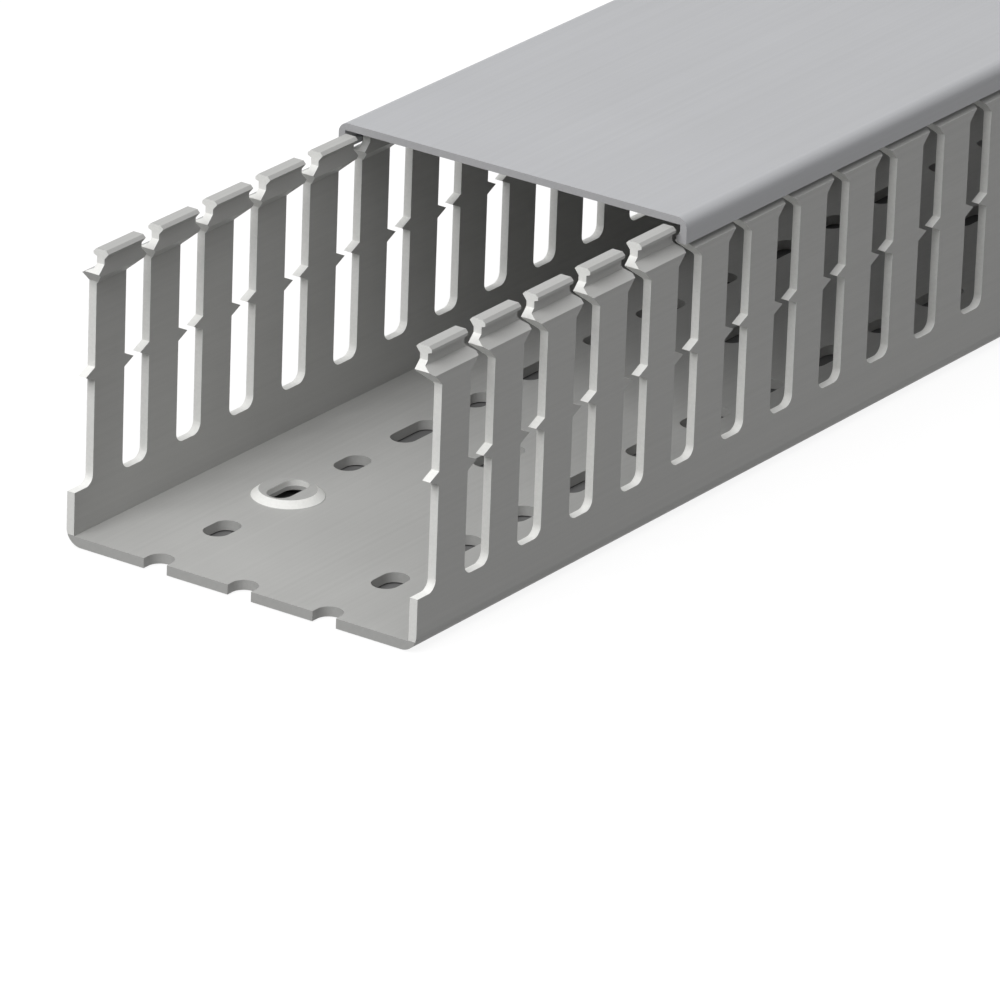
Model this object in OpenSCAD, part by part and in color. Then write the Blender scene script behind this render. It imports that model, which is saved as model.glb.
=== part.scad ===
// Slotted wire duct: a U-shaped base with fingered walls and a punched floor,
// and the cover that snaps over the finger heads.
// X runs along the duct, Y across it and Z up from the mounting face. The origin is
// halfway along the base; the sawn end that shows its inside is at low X.

/* [Duct] */
// Length of the stock, base and cover alike
duct_len = 1000; // [300:50:1200]
// Width over the outside of the walls
duct_w = 60; // [50:5:120]
// Height over the cover, from the mounting face
duct_h = 45; // [40:1:100]
// Thickness of the side walls
wall_t = 1.3; // [1.1:0.1:2.3]
// Thickness of the floor
floor_t = 1.5; // [1.2:0.1:3]
// Outside radius along the two lower edges
edge_r = 2.5; // [1:0.5:3]

/* [Fingers] */
// Spacing of the fingers and slots
pitch = 12.5; // [11:0.5:25]
// Width of a slot between two fingers
slot_w = 5.7; // [5:0.1:8]
// Width of the mouth between two finger heads
mouth_w = 1.6; // [1:0.1:2.4]
// Width of the entry above the mouth, where a wire is pressed in
entry_w = 4; // [2.5:0.1:4.5]
// Height of the solid strip below the slots
strip_h = 8; // [6:0.5:12]
// Radius of the lower corners of a slot
slot_r = 1.6; // [0.5:0.1:2]
// Distance from the sawn end to the middle of the first slot
first_slot = 1.3; // [0:0.1:3]
// Height of the break-off nibs above the mounting face
nib_z = 24.6; // [18:0.2:30]
// Reach of each nib into the slot
nib_d = 2.1; // [0.5:0.1:2.2]
// Height of a nib at its root
nib_h = 2; // [1:0.1:4]

/* [Snap] */
// Thickness of the cover plate
cover_t = 1.1; // [0.8:0.1:2]
// Outside radius of the cover's long edges
cover_r = 1.6; // [0.5:0.1:2]
// Thickness of the cover's turned-down legs
leg_t = 1.1; // [0.8:0.1:1.5]
// Reach of the hook on a leg
hook_d = 0.6; // [0.4:0.1:0.9]
// Height of the hook on a leg
hook_h = 1.2; // [1:0.1:2]
// Height of the lip on top of a finger head
lip_h = 1.1; // [0.8:0.1:1.5]
// Reach of the lip into the duct, past the head
lip_d = 0.7; // [0.3:0.1:1.2]
// Thickness of the head behind the groove for the hook
head_t = 1.3; // [1:0.1:2]
// Height of the sloped ledge below the cover's legs
ledge_h = 1; // [0.5:0.1:2]
// Running clearance between the cover and the finger heads
snap_gap = 0.2; // [0.1:0.05:0.4]
// How far the cover is drawn back from the sawn end, in fingers
drawn_back = 5; // [0:1:20]

/* [Floor holes] */
// Spacing of the holes along each outer row
hole_step = 15.5; // [12:0.5:30]
// Distance of the outer rows from the middle of the floor
row_y = 14.5; // [12:0.5:16]
// Length of a long mounting slot
long_l = 10; // [8:0.2:11]
// Length of a short mounting slot
short_l = 6.4; // [5:0.2:10]
// Width of the mounting slots
hole_w = 4; // [3:0.1:5]
// Every how many steps a slot comes in the middle row
mid_every = 4; // [2:1:12]
// Every how many steps a raised screw seat comes in the rear row
seat_every = 30; // [4:2:64]
// Diameter of a seat where it rises from the floor
seat_d = 10.8; // [10:0.2:14]
// How far a seat is pressed up
seat_h = 1; // [0.5:0.1:1.3]
// Width of the slope round a seat
seat_slope = 1.2; // [0.8:0.1:1.4]
// Length of the slot in a seat
seat_slot_l = 7.6; // [5:0.2:8]
// Width of the slot in a seat
seat_slot_w = 3.8; // [3:0.1:5]

/* [Hidden] */
duct_grey = [0.70, 0.70, 0.69];
cover_grey = [0.74, 0.75, 0.76];
round_fn = 32;
over = 1;
// Small chamfers on the lip and on the hook
lip_c = 0.45;
hook_c = 0.25;
// How far up the ledge the mouth lies, of the ledge's height
mouth_share = 0.4;

// Heights of the snap, from the cover down
plate_z = duct_h - cover_t;
head_top = plate_z - snap_gap;
groove_top = head_top - lip_h;
hook_top = groove_top - snap_gap;
leg_end = hook_top - hook_h;
groove_low = leg_end - snap_gap;
ledge_z = groove_low - ledge_h;
// Depths of the snap, from the outer face of the wall inwards
lip_out = leg_t + snap_gap;
groove_in = leg_t + hook_d + snap_gap;
head_in = groove_in + head_t;
lip_in = head_in + lip_d;
// The wall steps inwards at 45 degrees to the back of the head
step_z = ledge_z - (head_in - wall_t);
// A slot narrows to its mouth at 45 degrees, and opens out again to its entry
mouth_z = ledge_z + ledge_h * mouth_share;
shoulder_z = mouth_z - (slot_w - mouth_w) / 2;
entry_z = mouth_z + (entry_w - mouth_w) / 2;
// The last slot whose middle lies within the stock
slot_n = floor((duct_len - first_slot) / pitch);
last_slot = first_slot + slot_n * pitch;
last_left = duct_len - last_slot - slot_w / 2;
cover_x = drawn_back * pitch;
hole_n = floor(duct_len / hole_step);
// Holes, slots and the cover are placed from the sawn end
sawn_end = -duct_len / 2;

// Outline of one half of the base's section, as Y and Z, from the underside inwards
function half_points() = [
    [duct_w / 2, 0], [duct_w / 2, ledge_z],
    [duct_w / 2 - groove_in, groove_low],
    [duct_w / 2 - groove_in, groove_top],
    [duct_w / 2 - lip_out, groove_top + lip_c / 2],
    [duct_w / 2 - lip_out, head_top - lip_c],
    [duct_w / 2 - lip_out - lip_c, head_top],
    [duct_w / 2 - lip_in + lip_c, head_top],
    [duct_w / 2 - lip_in, head_top - lip_c],
    [duct_w / 2 - head_in, groove_top - lip_c / 2],
    [duct_w / 2 - head_in, ledge_z],
    [duct_w / 2 - wall_t, step_z], [duct_w / 2 - wall_t, floor_t]
];

// The whole outline, with the other half mirrored
function mirrored(points) = concat(
    points, [for (i = [len(points) - 1 : -1 : 0]) [-points[i][0], points[i][1]]]
);

// What a round of radius r takes off a square corner at the origin
module corner_waste(r) {
    difference() {
        translate([-over, -over]) square(r + over);
        translate([r, r]) circle(r = r, $fn = round_fn);
    }
}

module base_section() {
    difference() {
        polygon(mirrored(half_points()));
        for (side = [0, 1]) mirror([side, 0]) translate([-duct_w / 2, 0]) corner_waste(edge_r);
    }
}

// Extrudes a section drawn in Y and Z along X
module along_x(length) {
    rotate([90, 0, 90]) linear_extrude(length) children();
}

// Outline of one slot about its middle line, with Z upwards
module slot_outline() {
    h = slot_w / 2;
    polygon([
        [h - slot_r, strip_h], [h, strip_h + slot_r],
        [h, nib_z - nib_h / 2], [h - nib_d, nib_z], [h, nib_z + nib_h / 2],
        [h, shoulder_z], [mouth_w / 2, mouth_z], [entry_w / 2, entry_z], [entry_w / 2, duct_h],
        [-entry_w / 2, duct_h], [-entry_w / 2, entry_z], [-mouth_w / 2, mouth_z], [-h, shoulder_z],
        [-h, nib_z + nib_h / 2], [-h + nib_d, nib_z], [-h, nib_z - nib_h / 2],
        [-h, strip_h + slot_r], [-h + slot_r, strip_h]
    ]);
    for (side = [-1, 1]) translate([side * (h - slot_r), strip_h + slot_r])
        circle(r = slot_r, $fn = round_fn);
}

// One stroke of the punch, through both walls
module wall_punch() {
    rotate([90, 0, 0]) linear_extrude(duct_w + 2 * over, center = true) slot_outline();
}

// Opens the part of a slot that the saw leaves at an end
module end_cut(from_x, to_x) {
    translate([from_x, -duct_w / 2 - over, strip_h + slot_r])
        cube([to_x - from_x, duct_w + 2 * over, duct_h]);
}

// A slot with round ends, through the floor
module floor_slot(length, width) {
    translate([0, 0, -over]) linear_extrude(floor_t + seat_h + 2 * over) {
        square([length - width, width], center = true);
        for (end = [-1, 1]) translate([end * (length - width) / 2, 0])
            circle(d = width, $fn = round_fn);
    }
}

// The press lifts a screw seat out of the floor, and leaves the same form hollow below
module seat_form(from_z) {
    translate([0, 0, from_z])
        cylinder(d1 = seat_d, d2 = seat_d - 2 * seat_slope, h = seat_h, $fn = round_fn);
}

// The steps of the rear row that have a seat
seat_steps = [for (i = [2 : seat_every : hole_n]) if (i * hole_step + seat_d < duct_len) i];

module at_seats() {
    for (i = seat_steps) translate([i * hole_step, row_y, 0]) children();
}

// Long and short slots take turns; the saw has gone through a line of short ones
module floor_holes() {
    for (i = [0 : hole_n]) translate([i * hole_step, 0, 0]) {
        row_l = i > 0 && i % 2 == 0 ? long_l : short_l;
        translate([0, -row_y, 0]) floor_slot(row_l, hole_w);
        if (len(search(i, seat_steps)) == 0) translate([0, row_y, 0]) floor_slot(row_l, hole_w);
        if (i % mid_every == 0) floor_slot(row_l, hole_w);
    }
    at_seats() {
        floor_slot(seat_slot_l, seat_slot_w);
        seat_form(0);
    }
}

module base() {
    color(duct_grey) translate([sawn_end, 0, 0]) difference() {
        union() {
            along_x(duct_len) base_section();
            at_seats() seat_form(floor_t);
        }
        for (i = [0 : slot_n + 1]) translate([first_slot + i * pitch, 0, 0]) wall_punch();
        end_cut(-over, first_slot);
        if (last_left < over) end_cut(last_slot, duct_len + over);
        floor_holes();
    }
}

// Outline of one half of the cover's section, as Y and Z, from the top inwards
function cover_points() = [
    [duct_w / 2, duct_h], [duct_w / 2, leg_end],
    [duct_w / 2 - leg_t - hook_d + hook_c, leg_end],
    [duct_w / 2 - leg_t - hook_d, leg_end + hook_c],
    [duct_w / 2 - leg_t - hook_d, hook_top - hook_c],
    [duct_w / 2 - leg_t, hook_top],
    [duct_w / 2 - leg_t, plate_z]
];

module cover_section() {
    difference() {
        polygon(mirrored(cover_points()));
        for (side = [0, 1]) mirror([side, 0]) translate([-duct_w / 2, duct_h])
            mirror([0, 1]) corner_waste(cover_r);
    }
}

module cover() {
    color(cover_grey) translate([sawn_end + cover_x, 0, 0]) along_x(duct_len) cover_section();
}

base();
cover();
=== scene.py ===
import math

import bpy
from mathutils import Matrix, Vector


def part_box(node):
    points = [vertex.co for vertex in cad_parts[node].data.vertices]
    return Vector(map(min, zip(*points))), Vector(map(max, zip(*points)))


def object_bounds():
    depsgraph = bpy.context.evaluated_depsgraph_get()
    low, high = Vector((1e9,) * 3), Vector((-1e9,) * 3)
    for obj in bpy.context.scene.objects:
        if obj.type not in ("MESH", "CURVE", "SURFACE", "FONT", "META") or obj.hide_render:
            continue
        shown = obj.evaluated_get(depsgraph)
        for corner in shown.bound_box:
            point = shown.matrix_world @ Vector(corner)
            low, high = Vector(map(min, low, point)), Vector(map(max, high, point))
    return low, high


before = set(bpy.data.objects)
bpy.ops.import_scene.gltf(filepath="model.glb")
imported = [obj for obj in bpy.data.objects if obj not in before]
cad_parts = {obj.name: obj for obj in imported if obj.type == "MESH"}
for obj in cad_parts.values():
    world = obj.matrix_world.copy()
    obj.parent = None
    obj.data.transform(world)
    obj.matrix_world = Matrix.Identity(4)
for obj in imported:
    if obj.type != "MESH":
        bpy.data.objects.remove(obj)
cad_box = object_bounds()


# ---------------------------------------------------------------- The base
# One length of rigid PVC, extruded as a U and then punched: fingers in both walls, screw slots in
# the floor. Extrusion leaves it satin, with faint die lines along it. In the walls and round the
# screw seats, where the punch has cut or raised it, the plastic is dull and paler: partly stress
# whitening, partly a painted highlight for the light that these faces catch.

def linear(hex_colour):
    """An sRGB hex colour as linear red, green, blue and alpha."""
    shades = [int(hex_colour[i:i + 2], 16) / 255 for i in (1, 3, 5)]
    return [s / 12.92 if s < 0.04045 else ((s + 0.055) / 1.055) ** 2.4 for s in shades] + [1.0]


def add(tree, kind, settings=None, **links):
    """Adds a node: settings are properties or socket values, links are sockets to connect."""
    node = tree.nodes.new(kind)
    for name, value in (settings or {}).items():
        if name in node.inputs:
            node.inputs[name].default_value = value
        elif name.isdigit():
            node.inputs[int(name)].default_value = value
        else:
            setattr(node, name, value)
    for name, source in links.items():
        socket = node.inputs[int(name[1:]) if name[0] == "_" else name.replace("_", " ")]
        tree.links.new(source, socket)
    return node


def math_node(tree, operation, a, b):
    """One step of arithmetic; a and b are sockets or numbers."""
    node = tree.nodes.new("ShaderNodeMath")
    node.operation = operation
    for i, value in enumerate((a, b)):
        if isinstance(value, (int, float)):
            node.inputs[i].default_value = value
        else:
            tree.links.new(value, node.inputs[i])
    return node.outputs[0]


base_low, base_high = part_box("base")
SAWN_END = base_low.x
FLOOR_TOP = 0.0015
WALL_INNER_Y = 0.0287
SEAT_ZONE = 0.004
SLOT_BOTTOM_ZONE = 0.012
HAIR = 0.0001
# a face counts as cut across, as level or as not sloping from these shares of its normal on
CUT_ACROSS = 0.03
LEVEL = 0.9
NOT_SLOPING = 0.97


def worked_and_highlit_faces(tree, coords):
    """1 where the punch has cut or raised the plastic, above the floor, and 0 on all other faces; these faces
    get the paler colour, which is partly stress whitening and partly painted highlight.
    """
    normal = add(tree, "ShaderNodeSeparateXYZ", Vector=coords.outputs["Normal"])
    place = add(tree, "ShaderNodeSeparateXYZ", Vector=coords.outputs["Object"])
    height = place.outputs["Z"]
    across = math_node(tree, "ABSOLUTE", place.outputs["Y"], 0)
    in_wall = math_node(tree, "GREATER_THAN", across, WALL_INNER_Y - 2 * HAIR)
    in_floor = math_node(tree, "SUBTRACT", 1, in_wall)
    lengthways = math_node(tree, "ABSOLUTE", normal.outputs["X"], 0)
    cut_across = math_node(tree, "GREATER_THAN", lengthways, CUT_ACROSS)
    in_seat = math_node(tree, "MULTIPLY", in_floor, math_node(tree, "LESS_THAN", height, SEAT_ZONE))
    upright = math_node(tree, "ABSOLUTE", normal.outputs["Z"], 0)
    sloping = math_node(tree, "LESS_THAN", upright, NOT_SLOPING)
    on_seat = math_node(tree, "MULTIPLY", in_seat, sloping)
    faces_up = math_node(tree, "GREATER_THAN", normal.outputs["Z"], LEVEL)
    low_down = math_node(tree, "LESS_THAN", height, SLOT_BOTTOM_ZONE)
    low_ledge = math_node(tree, "MULTIPLY", faces_up, low_down)
    slot_bottom = math_node(tree, "MULTIPLY", low_ledge, in_wall)
    any_of = math_node(tree, "MAXIMUM", cut_across, math_node(tree, "MAXIMUM", on_seat, slot_bottom))
    above_floor = math_node(tree, "GREATER_THAN", height, FLOOR_TOP + HAIR)
    return math_node(tree, "MULTIPLY", any_of, above_floor)


GLOSS_SPREAD = 0.04


def spread(tree, noise, low, high):
    """Stretches the middle of a noise, where nearly all of it lies, from low to high."""
    return add(tree, "ShaderNodeMapRange",
               {"From Min": 0.3, "From Max": 0.7, "To Min": low, "To Max": high},
               Value=noise.outputs["Fac"])


def extruded_pvc(name, light, dark, cut, roughness):
    """Rigid PVC as extruded: satin, in two near shades, with die lines along X; cut faces are paler, partly by
    stress whitening and partly by painted highlight.
    """
    material = bpy.data.materials.new(name)
    material.use_nodes = True
    tree = material.node_tree
    tree.nodes.clear()
    coords = add(tree, "ShaderNodeTexCoord")
    # die lines: about 0.7 mm apart across the face and 150 mm long
    along = add(tree, "ShaderNodeMapping", {"Scale": (6.5, 1400, 1400)},
                Vector=coords.outputs["Object"])
    die_lines = add(tree, "ShaderNodeTexNoise", {"Scale": 1.0, "Detail": 2.0, "Roughness": 0.5},
                    Vector=along.outputs["Vector"])
    # cloudy shades of the melt, some 30 mm across
    clouds = add(tree, "ShaderNodeTexNoise", {"Scale": 33.0, "Detail": 3.0, "Roughness": 0.5},
                 Vector=coords.outputs["Object"])
    # the matt grain of the sizing plates; real grain is finer, 0.4 mm is as fine as shows
    grain = add(tree, "ShaderNodeTexNoise", {"Scale": 2500.0, "Detail": 2.0, "Roughness": 0.6},
                Vector=coords.outputs["Object"])
    shade = spread(tree, clouds, 0.0, 1.0)
    melt = add(tree, "ShaderNodeMix", {"data_type": "RGBA", "6": linear(dark), "7": linear(light)},
               _0=shade.outputs["Result"])
    streaks = spread(tree, die_lines, 0.965, 1.02)
    streaked = add(tree, "ShaderNodeMix", {"data_type": "RGBA", "blend_type": "MULTIPLY", "0": 1.0},
                   _6=melt.outputs[2], _7=streaks.outputs["Result"])
    # a cut face is speckled where the plastic tore, 0.5 mm across
    torn = add(tree, "ShaderNodeTexNoise", {"Scale": 2000.0, "Detail": 3.0, "Roughness": 0.7},
               Vector=coords.outputs["Object"])
    torn_shade = spread(tree, torn, 0.93, 1.0)
    torn_and_highlit_colour = add(tree, "ShaderNodeMix",
                      {"data_type": "RGBA", "blend_type": "MULTIPLY", "0": 1.0, "6": linear(cut)},
                      _7=torn_shade.outputs["Result"])
    # painted highlight: the pale colour on cut and raised faces stands partly for stress whitening, partly for
    # the light they catch
    worked_and_highlit = worked_and_highlit_faces(tree, coords)
    colour = add(tree, "ShaderNodeMix", {"data_type": "RGBA"}, _0=worked_and_highlit, _6=streaked.outputs[2],
                 _7=torn_and_highlit_colour.outputs[2])
    gloss = spread(tree, clouds, roughness - GLOSS_SPREAD, roughness + GLOSS_SPREAD)
    dull = add(tree, "ShaderNodeMix", {"data_type": "FLOAT", "3": 0.75}, _0=worked_and_highlit, _2=gloss.outputs["Result"])
    lines = add(tree, "ShaderNodeBump", {"Strength": 0.25, "Distance": 0.00004},
                Height=die_lines.outputs["Fac"])
    relief = add(tree, "ShaderNodeBump", {"Strength": 0.2, "Distance": 0.00004},
                 Height=grain.outputs["Fac"], Normal=lines.outputs["Normal"])
    shader = add(tree, "ShaderNodeBsdfPrincipled", {"IOR": 1.53, "Metallic": 0.0},
                 Base_Color=colour.outputs[2], Roughness=dull.outputs[0], Normal=relief.outputs["Normal"])
    add(tree, "ShaderNodeOutputMaterial", Surface=shader.outputs["BSDF"])
    return material


def finish_node(name, material):
    """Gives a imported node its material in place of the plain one."""
    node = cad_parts[name]
    node.data.materials.clear()
    node.data.materials.append(material)


# the near-white cut colour is partly stress whitening and partly painted highlight
finish_node("base", extruded_pvc("satin_grey_pvc", "#B6B6B4", "#AEAEAC", "#F2F2EF", 0.5))


# --------------------------------------------------------------- The cover
# A second extrusion of the same plastic, a shallow U whose legs hook under the finger heads. It
# comes off smooth sizing plates, so it is a little glossier and cooler in tone than the base.

finish_node("cover", extruded_pvc("smooth_grey_pvc", "#B1B2B5", "#ABACAF", "#B4B4B6", 0.4))


# -------------------------------------------------------------- The camera
# A long lens, well back from the sawn end and above it, so that the sides hardly converge. It
# looks down on the open end from the left, and is rolled a little.

VIEW_AZIMUTH = math.radians(-55.55)
VIEW_HEIGHT = math.radians(22.66)
VIEW_ROLL = math.radians(2.07)
VIEW_DISTANCE = 1.425
# the middle of the view, from a point 39 mm in from the sawn end and 30 mm up
VIEW_POINT = Vector((SAWN_END + 0.03896, 0, 0.030))
SHIFT_RIGHT = 0.01250
SHIFT_DOWN = 0.02570
turn = Matrix.Rotation(VIEW_AZIMUTH, 3, "Z") @ Matrix.Rotation(math.pi / 2 - VIEW_HEIGHT, 3, "X")
turn = turn @ Matrix.Rotation(VIEW_ROLL, 3, "Z")
right, up, back = turn.col[0], turn.col[1], turn.col[2]
looked_at = VIEW_POINT + SHIFT_RIGHT * right - SHIFT_DOWN * up
camera = bpy.data.objects.new("camera", bpy.data.cameras.new("camera"))
camera.data.lens = 367.4
camera.data.sensor_width = 36
camera.data.clip_end = 50
camera.matrix_world = Matrix.Translation(looked_at + VIEW_DISTANCE * back) @ turn.to_4x4()
bpy.context.scene.collection.objects.link(camera)
bpy.context.scene.camera = camera


# --------------------------------------------------- The floor and backdrop
# A level white sweep. The camera sees it white, with the duct's soft shadow; to the duct itself
# it is a mid grey, so that it throws little light up into the trough.

FLOOR_REACH = 30
FLOOR_DROP = 0.0002
FLOOR_GLOW = 0.88
SHADE_MARGIN = 0.005
corners = [(x * FLOOR_REACH, y * FLOOR_REACH, 0) for x, y in ((-1, -1), (1, -1), (1, 1), (-1, 1))]
floor_mesh = bpy.data.meshes.new("floor")
floor_mesh.from_pydata(corners, [], [(0, 1, 2, 3)])
floor = bpy.data.objects.new("floor", floor_mesh)
floor.location.z = cad_box[0][2] - FLOOR_DROP
bpy.context.scene.collection.objects.link(floor)


def seen_directly(tree):
    """1 for what the camera sees, also by way of gloss or glass, and 0 for light on its way."""
    path = add(tree, "ShaderNodeLightPath")
    by_gloss = math_node(tree, "MAXIMUM", path.outputs["Is Glossy Ray"], path.outputs["Is Transmission Ray"])
    return math_node(tree, "MAXIMUM", path.outputs["Is Camera Ray"], by_gloss)


sweep = bpy.data.materials.new("white_sweep")
sweep.use_nodes = True
tree = sweep.node_tree
tree.nodes.clear()
grey = add(tree, "ShaderNodeBsdfDiffuse", {"Color": linear("#707070")})
# no white in the shade under the duct, which shows through the holes in its floor
place = add(tree, "ShaderNodeSeparateXYZ", Vector=add(tree, "ShaderNodeTexCoord").outputs["Object"])
across = math_node(tree, "ABSOLUTE", place.outputs["Y"], 0)
beside = math_node(tree, "GREATER_THAN", across, base_high.y - SHADE_MARGIN)
before = math_node(tree, "LESS_THAN", place.outputs["X"], SAWN_END + SHADE_MARGIN)
beyond = math_node(tree, "GREATER_THAN", place.outputs["X"], base_high.x - SHADE_MARGIN)
in_light = math_node(tree, "MAXIMUM", beside, math_node(tree, "MAXIMUM", before, beyond))
whiteness = math_node(tree, "MULTIPLY", in_light, FLOOR_GLOW)
glow = add(tree, "ShaderNodeEmission", {"Color": linear("#FFFFFF")}, Strength=whiteness)
white = add(tree, "ShaderNodeAddShader", _0=grey.outputs[0], _1=glow.outputs[0])
both = add(tree, "ShaderNodeMixShader", _0=seen_directly(tree), _1=grey.outputs[0], _2=white.outputs[0])
add(tree, "ShaderNodeOutputMaterial", Surface=both.outputs[0])
floor_mesh.materials.append(sweep)

world = bpy.data.worlds.new("studio")
bpy.context.scene.world = world
world.use_nodes = True
tree = world.node_tree
tree.nodes.clear()
# the dome is bright high up and dim towards the horizon
DOME_LOW = 0.12
DOME_HIGH = 0.85
upwards = add(tree, "ShaderNodeSeparateXYZ", Vector=add(tree, "ShaderNodeTexCoord").outputs["Generated"])
shine = add(tree, "ShaderNodeMapRange",
            {"From Min": 0.3, "From Max": 0.7, "To Min": DOME_LOW, "To Max": DOME_HIGH},
            Value=upwards.outputs["Z"])
dome = add(tree, "ShaderNodeBackground", {"Color": linear("#FFFFFF")}, Strength=shine.outputs["Result"])
backdrop = add(tree, "ShaderNodeBackground", {"Color": linear("#FFFFFF"), "Strength": 1.0})
both = add(tree, "ShaderNodeMixShader", _0=seen_directly(tree), _1=dome.outputs[0], _2=backdrop.outputs[0])
add(tree, "ShaderNodeOutputWorld", Surface=both.outputs[0])


# --------------------------------------------------------------- The lights
# One big soft box hangs over the sawn end, high and to the left of the camera. The dome of the
# studio does the rest.

def softbox(name, towards, distance, size, watts):
    """A square area lamp in the direction `towards` from the sawn end, facing it."""
    lamp = bpy.data.objects.new(name, bpy.data.lights.new(name, "AREA"))
    lamp.data.energy = watts
    lamp.data.size = size
    aim = Vector((SAWN_END + 0.1, 0, 0))
    lamp.location = aim + Vector(towards).normalized() * distance
    lamp.rotation_euler = Vector(towards).to_track_quat("Z", "Y").to_euler()
    bpy.context.scene.collection.objects.link(lamp)


softbox("key_box", (-0.75, 0.05, 0.75), 2.0, 1.2, 23)


# ---------------------------------------------------------------- The end
bpy.context.scene.view_settings.view_transform = "Standard"
